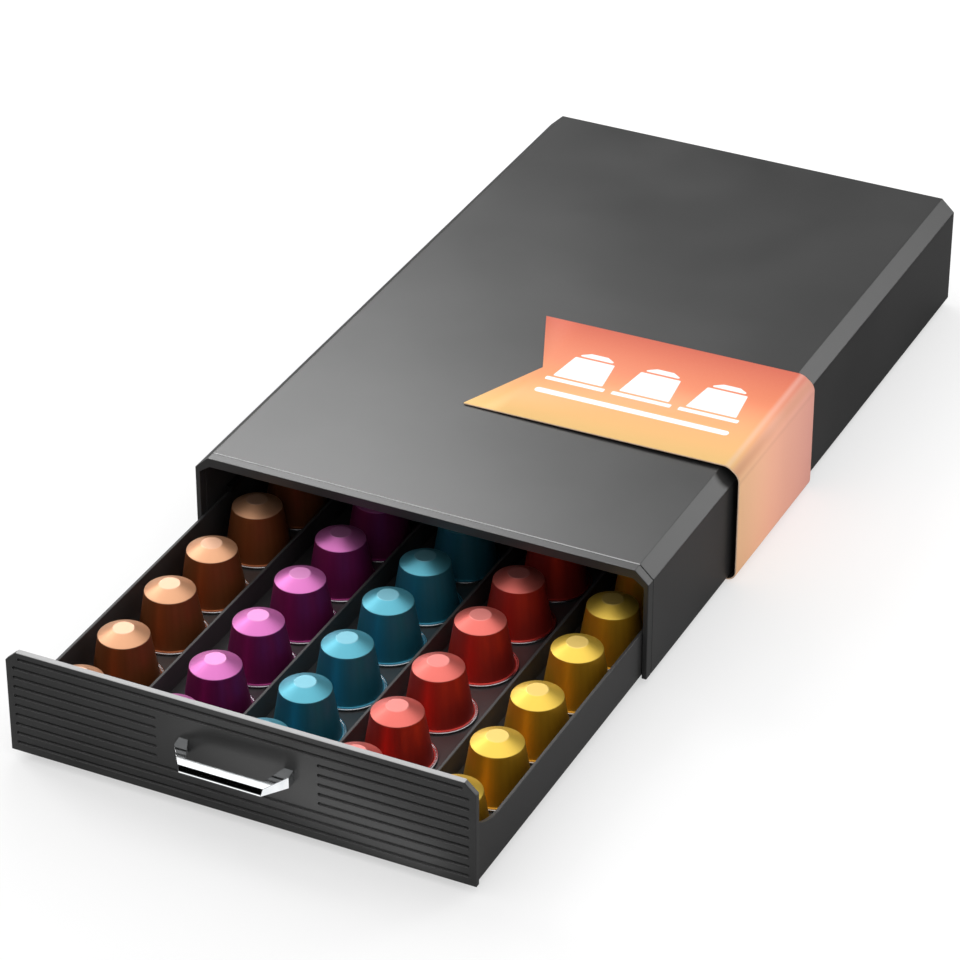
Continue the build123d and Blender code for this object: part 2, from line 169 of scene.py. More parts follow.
# Chrome, lacquer and plain metal
wave_size = 7.0 * mm
wave_depth = 0.003 * mm
hairline_width = 0.4 * mm
hairline_stretch = 0.08
draw_line_width = 2.2 * mm
draw_line_stretch = 0.05
peel_size = 0.7 * mm
peel_depth = 0.006 * mm
metal_gloss_spread = 0.06

# Paper fibres of the band's board
fibre_size = 1.1 * mm
varnish_relief = 0.01 * mm
board_relief = 0.02 * mm

# Floor, its painted reflection tones from front to back, and the painted pool of light on it ahead of the
# handle
floor_half = 4.0
tone_reach = 0.5
pool_place = (0.012, -0.3235, 0.0)
pool_size = (0.08, 0.014, 1.0)
pool_turn = radians(17)
painted_pool_glow = 0.6
pool_edge = 1.25

# Camera and lamps
camera_place = (0.72167, -1.52222, 1.07156)
camera_tilt = radians(58.068)
camera_turn = radians(25.933)
lens_length = 149.45
sensor_width = 36.0
lamp_aim = (0.0, -0.05, 0.03)


# Small tools

def linear(colour):
    """The linear RGBA of an sRGB hex colour."""
    parts = [int(colour[i : i + 2], 16) / 255 for i in (1, 3, 5)]
    curve = [c / 12.92 if c <= 0.04045 else ((c + 0.055) / 1.055) ** 2.4 for c in parts]
    return (*curve, 1.0)


def per(size):
    """The texture scale that makes a pattern about one size wide."""
    return 1 / size


def add(tree, kind, inputs=None, stops=(), **settings):
    """Adds a node with its settings. An input gets a value, or a link from another node's socket."""
    node = tree.nodes.new(kind)
    for name, value in settings.items():
        setattr(node, name, value)
    for name, value in (inputs or {}).items():
        by_name = [s for s in node.inputs if s.name == name and s.enabled]
        socket = by_name[0] if by_name else node.inputs[name]
        if isinstance(value, bpy.types.NodeSocket):
            tree.links.new(value, socket)
        else:
            socket.default_value = value
    for i, (position, colour) in enumerate(stops):
        elements = node.color_ramp.elements
        element = elements[i] if i < len(elements) else elements.new(position)
        element.position = position
        element.color = linear(colour)
    return node


def new_material(name, **surface):
    """A material with one Principled shader, its even values set on the shader itself."""
    material = bpy.data.materials.new(name)
    material.use_nodes = True
    tree = material.node_tree
    tree.nodes.clear()
    even = {words.replace("_", " "): value for words, value in surface.items()}
    shader = add(tree, "ShaderNodeBsdfPrincipled", even)
    add(tree, "ShaderNodeOutputMaterial", {"Surface": shader.outputs["BSDF"]})
    return material, tree, shader


def piece_from(shape, name, body, finishes, replaced=(), crisp=32):
    """Makes a piece of the object from a bmesh, smooth but for edges crisper than an angle in degrees."""
    mesh = bpy.data.meshes.new(name)
    shape.to_mesh(mesh)
    shape.free()
    mesh.shade_smooth()
    mesh.set_sharp_from_angle(angle=radians(crisp))
    for finish in finishes:
        mesh.materials.append(finish)
    piece = bpy.data.objects.new(name, mesh)
    bpy.context.scene.collection.objects.link(piece)
    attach(piece, body)
    if replaced:
        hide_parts(*replaced)
    return piece


def rounded(points, radii, steps=6):
    """A closed or open line of 2-D points, with each corner rounded to its radius."""
    line = []
    for i, (point, radius) in enumerate(zip(points, radii)):
        corner = Vector(point)
        if not radius:
            line.append(corner)
            continue
        back = (Vector(points[i - 1]) - corner).normalized()
        ahead = (Vector(points[(i + 1) % len(points)]) - corner).normalized()
        half_turn = (pi - back.angle(ahead)) / 2
        centre = corner + (back + ahead).normalized() * radius / cos(half_turn)
        start = corner + back * radius * tan(half_turn) - centre
        end = corner + ahead * radius * tan(half_turn) - centre
        swing = atan2(start.x * end.y - start.y * end.x, start.dot(end))
        first = atan2(start.y, start.x)
        for step in range(steps + 1):
            angle = first + swing * step / steps
            line.append(centre + Vector((cos(angle), sin(angle))) * radius)
    return line


def turn_profile(shape, profile, place, segments, finish_of=None):
    """Sweeps a profile of (radius, height) points round an upright axis at a place.

    The map called wrap holds the way round and the height of each point, in metres.
    """
    wrap = shape.loops.layers.uv.get("wrap") or shape.loops.layers.uv.new("wrap")
    girth = max(point[0] for point in profile)
    rings = []
    for radius, height in profile:
        count = segments if radius else 1
        angles = [2 * pi * i / segments for i in range(count)]
        spots = [Vector((radius * cos(a), radius * sin(a), height)) for a in angles]
        rings.append([shape.verts.new(place + spot) for spot in spots])
    for k, (low, high) in enumerate(zip(rings, rings[1:])):
        for i in range(segments):
            corners = [
                (low[i % len(low)], i, k),
                (low[(i + 1) % len(low)], i + 1, k),
                (high[(i + 1) % len(high)], i + 1, k + 1),
                (high[i % len(high)], i, k + 1),
            ]
            kept = [c for n, c in enumerate(corners) if c[0] is not corners[n - 1][0]]
            face = shape.faces.new([vert for vert, _, _ in kept])
            face.material_index = finish_of(k) if finish_of else 0
            for loop, (_, turn, ring) in zip(face.loops, kept):
                loop[wrap].uv = (2 * pi * girth * turn / segments, profile[ring][1])
    return rings


def solid_boxes(node):
    """The low and high corner of each separate solid of a node, front to back and left to right."""
    shape = bmesh.new()
    shape.from_mesh(nodes[node].data)
    bmesh.ops.remove_doubles(shape, verts=shape.verts, dist=weld_gap)
    waiting = set(shape.verts)
    boxes = []
    while waiting:
        island = {waiting.pop()}
        edge_of_island = set(island)
        while edge_of_island:
            near = {e.other_vert(v) for v in edge_of_island for e in v.link_edges}
            edge_of_island = near - island
            island |= near
        waiting -= island
        spots = [v.co.copy() for v in island]
        low = Vector([min(s[axis] for s in spots) for axis in range(3)])
        high = Vector([max(s[axis] for s in spots) for axis in range(3)])
        boxes.append((low, high))
    shape.free()
    return sorted(boxes, key=lambda box: (box[0].y, box[0].x, box[0].z))


# Places taken from the frame

def band_corners():
    """The band's outer line across the object as (x, z) points, before its corners are rounded."""
    tail_z = case_high.z + top_gap + card_thick
    side_x = case_high.x + side_gap + card_thick
    low_z = case_low.z - under_gap - card_thick
    return [
        (tail_x, tail_z),
        (side_x - corner_cut_x, tail_z + top_rise),
        (side_x, tail_z + top_rise - corner_cut_z),
        (side_x, low_z),
        (case_high.x - under_leg, low_z + leg_rise),
    ]


def band_top(x):
    """The height of the band's flat top at one place across the object."""
    (start_x, start_z), (end_x, end_z) = band_corners()[:2]
    return start_z + (end_z - start_z) * (x - start_x) / (end_x - start_x)


case_low, case_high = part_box("case_shell")
band_low, band_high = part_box("card_band")
band_middle_y = (band_low.y + band_high.y) / 2
band_start = (notch_x, band_top(notch_x))
bends = [0.0, corner_round, corner_round, low_round, 0.0]
band_line = rounded([band_start, *band_corners()[1:]], bends, arc_steps)
band_steps = [(far - near).length for near, far in zip(band_line, band_line[1:])]
band_along = [sum(band_steps[:i]) for i in range(len(band_line))]
fold_station = band_along[1 + arc_steps // 2]
crease_station = band_along[2 * (arc_steps + 1)]
shoulder_z = max(high.z - low.z for low, high in solid_boxes("cups_gold")) + foil_thick - cone_height


# Materials

def grained(name, colour, edge_tone, roughness, grain, depth, ior, edge):
    """A plastic, rubber or paint with a fine even grain, slow clouding, and soft edges painted paler.

    Grain and depth are the width and height of the grain, and edge is the radius of the paler edges, which
    are partly wear and partly a painted highlight.
    """
    material, tree, shader = new_material(name, IOR=ior)
    place = add(tree, "ShaderNodeTexCoord").outputs["Object"]
    fine = add(tree, "ShaderNodeTexNoise", {"Vector": place, "Scale": per(grain), "Detail": 2.0})
    cloud = add(tree, "ShaderNodeTexNoise", {"Vector": place, "Scale": per(cloud_size), "Detail": 4.0})
    soft = add(tree, "ShaderNodeBevel", {"Radius": edge}, samples=4).outputs["Normal"]
    facing = add(tree, "ShaderNodeNewGeometry").outputs["Normal"]
    relief = {"Height": fine.outputs["Fac"], "Distance": depth, "Normal": soft}
    bump = add(tree, "ShaderNodeBump", relief)
    # Edges are painted paler, partly wear and partly a painted highlight.
    match = add(tree, "ShaderNodeVectorMath", {0: soft, 1: facing}, operation="DOT_PRODUCT")
    paling_range = {"Value": match.outputs["Value"], "From Min": paling_start, "From Max": paling_full}
    edge_paling = add(tree, "ShaderNodeMapRange", {**paling_range, "To Max": paling_amount})
    shade = {0: cloud.outputs["Fac"], 1: cloud_amount, 2: edge_paling.outputs["Result"]}
    mixed = add(tree, "ShaderNodeMath", shade, operation="MULTIPLY_ADD")
    stops = [(0.0, colour), (1.0, edge_tone)]
    tint = add(tree, "ShaderNodeValToRGB", {"Fac": mixed.outputs["Value"]}, stops)
    low, high = roughness - gloss_spread, roughness + gloss_spread
    sheen = add(tree, "ShaderNodeMapRange", {"Value": cloud.outputs["Fac"], "To Min": low, "To Max": high})
    tree.links.new(tint.outputs["Color"], shader.inputs["Base Color"])
    tree.links.new(sheen.outputs["Result"], shader.inputs["Roughness"])
    tree.links.new(bump.outputs["Normal"], shader.inputs["Normal"])
    return material


def marked(material, mask_of, colour):
    """Lays another colour over a finish where mask_of(tree) is 1, and gives the finish back."""
    tree = material.node_tree
    base = tree.nodes["Principled BSDF"].inputs["Base Color"]
    parts = {"Factor": mask_of(tree), "A": base.links[0].from_socket, "B": linear(colour)}
    tint = add(tree, "ShaderNodeMix", parts, data_type="RGBA")
    tree.links.new(tint.outputs["Result"], base)
    return material


def facing_up(tree):
    """1 on faces that look straight up."""
    facing = add(tree, "ShaderNodeNewGeometry").outputs["Normal"]
    up = add(tree, "ShaderNodeSeparateXYZ", {"Vector": facing}).outputs["Z"]
    return add(tree, "ShaderNodeMath", {0: up, 1: level_least}, operation="GREATER_THAN").outputs["Value"]


def along_top(tree):
    """1 on the narrow face along the top of the front panel, where a painted highlight goes."""
    _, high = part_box("front_panel")
    place = add(tree, "ShaderNodeTexCoord").outputs["Object"]
    height = add(tree, "ShaderNodeSeparateXYZ", {"Vector": place}).outputs["Z"]
    high_part = {0: height, 1: high.z - top_glint}
    near = add(tree, "ShaderNodeMath", high_part, operation="GREATER_THAN").outputs["Value"]
    facing = add(tree, "ShaderNodeNewGeometry").outputs["Normal"]
    aim = add(tree, "ShaderNodeSeparateXYZ", {"Vector": facing}).outputs["Z"]
    up = add(tree, "ShaderNodeMath", {0: aim, 1: upward_least}, operation="GREATER_THAN").outputs["Value"]
    return add(tree, "ShaderNodeMath", {0: near, 1: up}, operation="MULTIPLY").outputs["Value"]


def under_lips(tree):
    """1 on the strip of each channel's bed that its upper lip keeps the light from, where painted shade
    goes.
    """
    low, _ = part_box("front_panel")
    place = add(tree, "ShaderNodeTexCoord").outputs["Object"]
    axes = add(tree, "ShaderNodeSeparateXYZ", {"Vector": place}).outputs
    start = low.z + channel_low_z - channel_width / 2
    up = add(tree, "ShaderNodeMath", {0: axes["Z"], 1: start}, operation="SUBTRACT").outputs["Value"]
    within = add(tree, "ShaderNodeMath", {0: up, 1: channel_pitch}, operation="MODULO").outputs["Value"]
    high_part = {0: within, 1: channel_width - lip_shadow}
    near_lip = add(tree, "ShaderNodeMath", high_part, operation="GREATER_THAN").outputs["Value"]
    bed = {0: axes["Y"], 1: low.y + channel_depth * bed_share}
    sunk = add(tree, "ShaderNodeMath", bed, operation="GREATER_THAN").outputs["Value"]
    facing = add(tree, "ShaderNodeNewGeometry").outputs["Normal"]
    aim = add(tree, "ShaderNodeSeparateXYZ", {"Vector": facing}).outputs["Y"]
    ahead = add(tree, "ShaderNodeMath", {0: aim, 1: forward_most}, operation="LESS_THAN").outputs["Value"]
    inside = add(tree, "ShaderNodeMath", {0: sunk, 1: ahead}, operation="MULTIPLY").outputs["Value"]
    return add(tree, "ShaderNodeMath", {0: near_lip, 1: inside}, operation="MULTIPLY").outputs["Value"]


def along_seam(tree):
    """1 on the rounded front edge of the case's roof, behind the bezel, where a painted highlight goes."""
    place = add(tree, "ShaderNodeTexCoord").outputs["Object"]
    depth = add(tree, "ShaderNodeSeparateXYZ", {"Vector": place}).outputs["Y"]
    edge = {0: depth, 1: case_low.y + seam_glint / 2, 2: seam_glint / 2}
    near = add(tree, "ShaderNodeMath", edge, operation="COMPARE").outputs["Value"]
    facing = add(tree, "ShaderNodeNewGeometry").outputs["Normal"]
    aim = add(tree, "ShaderNodeSeparateXYZ", {"Vector": facing}).outputs
    upward = {0: aim["Z"], 1: upward_least}
    up = add(tree, "ShaderNodeMath", upward, operation="GREATER_THAN").outputs["Value"]
    sideways = {0: aim["X"], 1: 0.0, 2: sideways_most}
    square = add(tree, "ShaderNodeMath", sideways, operation="COMPARE").outputs["Value"]
    roof = add(tree, "ShaderNodeMath", {0: up, 1: square}, operation="MULTIPLY").outputs["Value"]
    return add(tree, "ShaderNodeMath", {0: near, 1: roof}, operation="MULTIPLY").outputs["Value"]


def chrome_plate(name):
    """Bright chrome on a polished casting: near mirror, with faint waves and polishing hairlines."""
    material, tree, shader = new_material(name, Metallic=1.0)
    place = add(tree, "ShaderNodeTexCoord").outputs["Object"]
    waves = add(tree, "ShaderNodeTexNoise", {"Vector": place, "Scale": per(wave_size), "Detail": 1.0})
    stretch = {"Vector": place, "Scale": (hairline_stretch, 1.0, 1.0)}
    along = add(tree, "ShaderNodeMapping", stretch).outputs["Vector"]
    hairlines = {"Vector": along, "Scale": per(hairline_width), "Detail": 2.0}
    lines = add(tree, "ShaderNodeTexNoise", hairlines)
    bump = add(tree, "ShaderNodeBump", {"Height": waves.outputs["Fac"], "Distance": wave_depth})
    haze = add(tree, "ShaderNodeMapRange", {"Value": lines.outputs["Fac"], "To Min": 0.03, "To Max": 0.12})
    stops = [(0.35, "#D2D5D7"), (0.7, "#E4E6E7")]
    tint = add(tree, "ShaderNodeValToRGB", {"Fac": waves.outputs["Fac"]}, stops)
    tree.links.new(tint.outputs["Color"], shader.inputs["Base Color"])
    tree.links.new(haze.outputs["Result"], shader.inputs["Roughness"])
    tree.links.new(bump.outputs["Normal"], shader.inputs["Normal"])
    return material


def lacquered_aluminium(name, cone_highlight_tone, colour, deep):
    """Pigmented lacquer under a clear coat on deep-drawn aluminium: a soft satin metal.

    The cone and crown are painted paler than the wall, and the crown's dish paler still towards white, as
    painted highlights.
    """
    coat = {"Coat_Weight": 0.5, "Coat_Roughness": 0.45, "Coat_IOR": 1.5}
    material, tree, shader = new_material(name, Metallic=0.85, **coat)
    wrap = add(tree, "ShaderNodeUVMap", uv_map="wrap").outputs["UV"]
    height = add(tree, "ShaderNodeSeparateXYZ", {"Vector": wrap}).outputs["Y"]
    shoulder = {"Value": height, "From Min": shoulder_z - shoulder_round, "From Max": shoulder_z}
    over = add(tree, "ShaderNodeMapRange", shoulder).outputs["Result"]
    stretch = {"Vector": wrap, "Scale": (1.0, draw_line_stretch, 1.0)}
    up = add(tree, "ShaderNodeMapping", stretch).outputs["Vector"]
    lines = add(tree, "ShaderNodeTexNoise", {"Vector": up, "Scale": per(draw_line_width), "Detail": 2.0})
    place = add(tree, "ShaderNodeTexCoord").outputs["Object"]
    peel = add(tree, "ShaderNodeTexNoise", {"Vector": place, "Scale": per(peel_size), "Detail": 1.0})
    bump = add(tree, "ShaderNodeBump", {"Height": peel.outputs["Fac"], "Distance": peel_depth})
    stops = [(0.25, deep), (0.75, colour)]
    tint = add(tree, "ShaderNodeValToRGB", {"Fac": lines.outputs["Fac"]}, stops)
    # Above the shoulder the cone and crown take the paler tone, a painted highlight.
    parts = {"Factor": over, "A": tint.outputs["Color"], "B": linear(cone_highlight_tone)}
    shaded = add(tree, "ShaderNodeMix", parts, data_type="RGBA").outputs["Result"]
    # The crown's dish is painted towards white, a painted highlight.
    dish_z = shoulder_z + cone_height - crown_dish
    crown = {"Value": height, "From Min": dish_z - crown_dish / 2, "From Max": dish_z}
    top = add(tree, "ShaderNodeMapRange", {**crown, "To Max": crown_highlight}).outputs["Result"]
    parts = {"Factor": top, "A": shaded, "B": linear("#FFFFFF")}
    shaded = add(tree, "ShaderNodeMix", parts, data_type="RGBA")
    haze = add(tree, "ShaderNodeMapRange", {"Value": lines.outputs["Fac"], "To Min": 0.45, "To Max": 0.51})
    tree.links.new(shaded.outputs["Result"], shader.inputs["Base Color"])
    tree.links.new(haze.outputs["Result"], shader.inputs["Roughness"])
    tree.links.new(bump.outputs["Normal"], shader.inputs["Normal"])
    return material


def clouded_metal(name, dark, light, roughness, grain, depth):
    """Plain metal with a soft uneven grey, as rolling, plating or embossing leaves it."""
    material, tree, shader = new_material(name, Metallic=1.0)
    place = add(tree, "ShaderNodeTexCoord").outputs["Object"]
    cloud = add(tree, "ShaderNodeTexNoise", {"Vector": place, "Scale": per(grain), "Detail": 3.0})
    bump = add(tree, "ShaderNodeBump", {"Height": cloud.outputs["Fac"], "Distance": depth})
    tint = add(tree, "ShaderNodeValToRGB", {"Fac": cloud.outputs["Fac"]}, [(0.3, dark), (0.7, light)])
    low, high = roughness - metal_gloss_spread, roughness + metal_gloss_spread
    haze = add(tree, "ShaderNodeMapRange", {"Value": cloud.outputs["Fac"], "To Min": low, "To Max": high})
    tree.links.new(tint.outputs["Color"], shader.inputs["Base Color"])
    tree.links.new(haze.outputs["Result"], shader.inputs["Roughness"])
    tree.links.new(bump.outputs["Normal"], shader.inputs["Normal"])
    return material


def printed_card(name):
    """Varnished board, printed with a fade from its front edge to its back edge. Its sides take a paler,
    pinker tint, a painted sheen, and painted highlight and shade lie along the bends.
    """
    material, tree, shader = new_material(name, IOR=1.5)
    place = add(tree, "ShaderNodeTexCoord").outputs["Object"]
    depth = add(tree, "ShaderNodeSeparateXYZ", {"Vector": place}).outputs["Y"]
    span = {"Value": depth, "From Min": band_low.y, "From Max": band_high.y}
    fade = add(tree, "ShaderNodeMapRange", span).outputs["Result"]
    stops = [(0.0, "#FED084"), (0.3, "#FAB476"), (0.62, "#EE8C64"), (1.0, "#DC6C54")]
    tint = add(tree, "ShaderNodeValToRGB", {"Fac": fade}, stops).outputs["Color"]
    # The sides are painted paler and pinker than the top, a painted sheen.
    stops = [(0.0, "#FDC898"), (0.45, "#F4B294"), (1.0, "#EAA292")]
    side_sheen_tint = add(tree, "ShaderNodeValToRGB", {"Fac": fade}, stops).outputs["Color"]
    wrap = add(tree, "ShaderNodeUVMap", uv_map="wrap").outputs["UV"]
    along = add(tree, "ShaderNodeSeparateXYZ", {"Vector": wrap}).outputs["Y"]
    turn = {"Value": along, "From Min": fold_station, "From Max": fold_station + side_blend}
    turned = add(tree, "ShaderNodeMapRange", turn, interpolation_type="SMOOTHSTEP").outputs["Result"]
    parts = {"Factor": turned, "A": tint, "B": side_sheen_tint}
    tint = add(tree, "ShaderNodeMix", parts, data_type="RGBA").outputs["Result"]
    # Each fold mark's place along the band, its reach to either side, its strength and its colour: a painted
    # highlight on the first bend, painted shade over the flat between the bends, and a painted shade line at
    # the crease
    fold_light_and_shade = (
        (fold_station, fold_width, 0.3, "#FFE3D6"),
        ((fold_station + crease_station) / 2, tan_width, 0.5, "#CC8A68"),
        (crease_station, crease_width, 0.2, "#CC8A72"),
    )
    for station, width, amount, fold_tone in fold_light_and_shade:
        away = add(tree, "ShaderNodeMath", {0: along, 1: station}, operation="SUBTRACT").outputs["Value"]
        gap = add(tree, "ShaderNodeMath", {0: away}, operation="ABSOLUTE").outputs["Value"]
        reach = {"Value": gap, "From Max": width, "To Min": amount, "To Max": 0.0}
        near = add(tree, "ShaderNodeMapRange", reach, interpolation_type="SMOOTHSTEP").outputs["Result"]
        parts = {"Factor": near, "A": tint, "B": linear(fold_tone)}
        tint = add(tree, "ShaderNodeMix", parts, data_type="RGBA").outputs["Result"]
    fibre = add(tree, "ShaderNodeTexNoise", {"Vector": place, "Scale": per(fibre_size), "Detail": 5.0})
    bump = add(tree, "ShaderNodeBump", {"Height": fibre.outputs["Fac"], "Distance": varnish_relief})
    gloss = add(tree, "ShaderNodeMapRange", {"Value": fibre.outputs["Fac"], "To Min": 0.44, "To Max": 0.56})
    tree.links.new(tint, shader.inputs["Base Color"])
    tree.links.new(gloss.outputs["Result"], shader.inputs["Roughness"])
    tree.links.new(bump.outputs["Normal"], shader.inputs["Normal"])
    return material


def dry_board(name, dark, light, roughness):
    """Uncoated board or ink: a dry surface with the mottle and tooth of paper fibres."""
    material, tree, shader = new_material(name, IOR=1.5, Roughness=roughness)
    place = add(tree, "ShaderNodeTexCoord").outputs["Object"]
    fibre = add(tree, "ShaderNodeTexNoise", {"Vector": place, "Scale": per(fibre_size), "Detail": 5.0})
    bump = add(tree, "ShaderNodeBump", {"Height": fibre.outputs["Fac"], "Distance": board_relief})
    tint = add(tree, "ShaderNodeValToRGB", {"Fac": fibre.outputs["Fac"]}, [(0.3, dark), (0.7, light)])
    tree.links.new(tint.outputs["Color"], shader.inputs["Base Color"])
    tree.links.new(bump.outputs["Normal"], shader.inputs["Normal"])
    return material


# The grain sizes here are three to five times the real ones, so that they show at this distance.
# Case, tray and panel are ABS, moulded in a spark-eroded tool: an even dark satin, no gloss spots.
# Tray and panel are toned lighter than the case to make up for the weaker light on them: painted light.
case_abs = grained(
    "satin_case_abs",
    colour="#161616",
    edge_tone="#7A7A7A",
    roughness=0.38,
    grain=0.8 * mm,
    depth=0.01 * mm,
    ior=1.54,
    edge=0.25 * mm,
)
tray_abs = grained(
    "satin_tray_abs",
    colour="#2C2C2C",
    edge_tone="#5A5656",
    roughness=0.42,
    grain=0.8 * mm,
    depth=0.01 * mm,
    ior=1.54,
    edge=0.2 * mm,
)
panel_abs = grained(
    "satin_panel_abs",
    colour="#222222",
    edge_tone="#8A8A8A",
    roughness=0.36,
    grain=0.8 * mm,
    depth=0.008 * mm,
    ior=1.54,
    edge=0.12 * mm,
)
# The panel's ledges are painted paler and its top palest, as painted highlights, and each channel's bed
# is painted dark under its upper lip, as painted shade.
panel_abs = marked(panel_abs, facing_up, "#5C5C5C")
panel_abs = marked(panel_abs, along_top, "#ACACAC")
panel_abs = marked(panel_abs, under_lips, "#050505")
# The roof's narrow front edge is painted bright where it meets the bezel, a painted highlight.
case_abs = marked(case_abs, along_seam, "#B8B8B8")
# Rails and stops are moulded acetal: smoother and slicker than the case.
guide_acetal = grained(
    "slick_acetal",
    colour="#0E0E0E",
    edge_tone="#3A3A3A",
    roughness=0.28,
    grain=0.6 * mm,
    depth=0.006 * mm,
    ior=1.48,
    edge=0.3 * mm,
)
# Feet and bumpers are moulded rubber: dull, with a dusty bloom on the edges.
foot_rubber = grained(
    "dull_rubber",
    colour="#121212",
    edge_tone="#303030",
    roughness=0.72,
    grain=0.5 * mm,
    depth=0.03 * mm,
    ior=1.52,
    edge=0.4 * mm,
)
# The base is powder-coated sheet steel: a black orange-peel skin.
powder_coat = grained(
    "black_powder_coat",
    colour="#0F0F10",
    edge_tone="#2C2C2E",
    roughness=0.5,
    grain=0.9 * mm,
    depth=0.05 * mm,
    ior=1.5,
    edge=0.4 * mm,
)
# The handle is cast zinc, polished and chromed.
chrome = chrome_plate("polished_chrome")
# Screws are zinc-plated steel, the lids embossed foil, and the rims aluminium cut through its lacquer.
zinc_plate = clouded_metal("zinc_plate", "#8E9092", "#B4B6B8", 0.32, 0.6 * mm, 0.01 * mm)
lid_foil = clouded_metal("lid_foil", "#B5B7BA", "#D2D4D6", 0.3, 1.6 * mm, 0.05 * mm)
bare_aluminium = clouded_metal("bare_aluminium", "#9A9C9F", "#BCBDC0", 0.24, 0.5 * mm, 0.005 * mm)
# The band is solid board: varnished print outside, near black inside as painted shade, and its core shows
# where it is cut.
card_print = printed_card("varnished_print")
shaded_card_back = dry_board("painted_shade_card_back", "#141210", "#1E1B19", 0.8)
card_core = dry_board("cut_card_edge", "#D9B79A", "#EACBB0", 0.85)
white_ink = dry_board("white_ink", "#F4F1EE", "#FBFAF8", 0.5)
# Each lane's cups are drawn from sheet lacquered in one colour, full and deep on the wall; the first, paler
# tone, for cone and crown, is a painted highlight.
lacquer_tones = {
    "copper": ("#D09A74", "#9E5626", "#965020"),
    "magenta": ("#C86CB0", "#8E1668", "#861260"),
    "turquoise": ("#52A2B4", "#2686A0", "#228098"),
    "red": ("#D6685E", "#CC3024", "#C42C20"),
    "gold": ("#E2BE48", "#D8A018", "#D09812"),
}
cup_metals = {
    name: lacquered_aluminium(f"{name}_lacquer", *tones) for name, tones in lacquer_tones.items()
}

node_finishes = {
    case_abs: ["case_shell", "front_bezel", "rear_panel"],
    tray_abs: ["drawer_tray", "divider_1", "divider_2", "divider_3", "divider_4"],
    panel_abs: ["front_panel"],
    guide_acetal: ["rail_left", "rail_right", "stop_left", "stop_right"],
    powder_coat: ["base_plate"],
    foot_rubber: ["bumper_left", "bumper_right"],
    lid_foil: [f"foils_{name}" for name in lacquer_tones],
}
for finish, names in node_finishes.items():
    for node in names:
        nodes[node].data.materials.clear()
        nodes[node].data.materials.append(finish)


# Capsules

def cup_profile(radius, height):
    """The outer line of a capsule's cup, from the middle of its mouth to the middle of its crown."""
    rim = rim_dia / 2
    ledge_z = foil_thick + rim_dia - ledge_dip
    body_r = radius - ledge_width
    points = [
        (0.0, foil_thick),
        (radius, foil_thick),
        (radius, foil_thick + rim_dia),
        (radius - rim_dia, foil_thick + rim_dia),
        (radius - rim_dia, ledge_z),
        (body_r, ledge_z),
        (shoulder_dia / 2, height - cone_height),
        (crown_dia / 2, height),
        (0.0, height - crown_dish),
    ]
    ledge = rim * ledge_share
    rim_radii = [0.0, rim, rim * rim_inner_share, ledge, ledge]
    return rounded(points, [*rim_radii, foot_round, shoulder_round, crown_round, 0.0], steps=4)


def cups(name):
    """The aluminium cups of one lane, standing where the frame has them."""
    node = f"cups_{name}"
    shape = bmesh.new()
    for low, high in solid_boxes(node):
        radius = (high.x - low.x) / 2
        foil_z = low.z - foil_thick
        profile = cup_profile(radius, high.z - foil_z)
        place = Vector(((low.x + high.x) / 2, (low.y + high.y) / 2, foil_z))
        trimmed_from = radius - ledge_width + foot_round
        rim_rings = [k for k, (r, z) in enumerate(profile) if r > trimmed_from]
        turn_profile(shape, profile, place, capsule_segments, lambda k: int(k in rim_rings))
    bmesh.ops.recalc_face_normals(shape, faces=shape.faces)
    finishes = [cup_metals[name], bare_aluminium]
    return piece_from(shape, f"capsule_cups_{name}", "drawer", finishes, [node])


cup_pieces = [cups(name) for name in cup_metals]


# Card band

def card_band():
    """The band as one slim board: printed side out, painted black side in as painted shade, pale where it is
    cut.

    The map called wrap holds each point's place across the band and along its line, in metres.
    """
    shape = bmesh.new()
    wrap = shape.loops.layers.uv.new("wrap")
    stations = [band_low.y, band_middle_y, band_high.y]
    rows = [[shape.verts.new((x, y, z)) for y in stations] for x, z in band_line]
    for k in range(len(rows) - 1):
        for i in range(len(stations) - 1):
            corners = [(k, i), (k, i + 1), (k + 1, i + 1), (k + 1, i)]
            face = shape.faces.new([rows[row][station] for row, station in corners])
            for loop, (row, station) in zip(face.loops, corners):
                loop[wrap].uv = (stations[station], band_along[row])
    for side, inward in ((0, tip_width), (-1, -tip_width)):
        edge_y = stations[side]
        tip = [shape.verts.new((tail_x, y, band_top(tail_x))) for y in (edge_y, edge_y + inward)]
        shape.faces.new([rows[0][side], *tip, rows[0][1]])
    bmesh.ops.recalc_face_normals(shape, faces=shape.faces)
    shape.faces.ensure_lookup_table()
    if shape.faces[0].normal.z < 0:
        bmesh.ops.reverse_faces(shape, faces=shape.faces)
    finishes = [card_print, shaded_card_back, card_core]
    piece = piece_from(shape, "printed_band", "band", finishes, ["card_band"])
    board = piece.modifiers.new("board", "SOLIDIFY")
    board.thickness = card_thick
    board.offset = -1.0
    board.use_even_offset = True
    board.material_offset = 1
    board.material_offset_rim = 2


def ink_patch(shape, corners, radius):
    """Adds one closed patch of ink with rounded corners, laid on the band's top."""
    outline = rounded(corners, [radius] * len(corners))
    low = [shape.verts.new((x, y, band_top(x) - ink_thick)) for x, y in outline]
    high = [shape.verts.new((x, y, band_top(x) + ink_thick)) for x, y in outline]
    shape.faces.new(high)
    shape.faces.new(reversed(low))
    for i in range(len(outline)):
        shape.faces.new([low[i - 1], low[i], high[i], high[i - 1]])


def taper(x, low_y, height, low_width, high_width):
    """The corners of an upright shape with one width at its foot and another at its head."""
    high_y = low_y + height
    return [
        (x - low_width / 2, low_y),
        (x + low_width / 2, low_y),
        (x + high_width / 2, high_y),
        (x - high_width / 2, high_y),
    ]


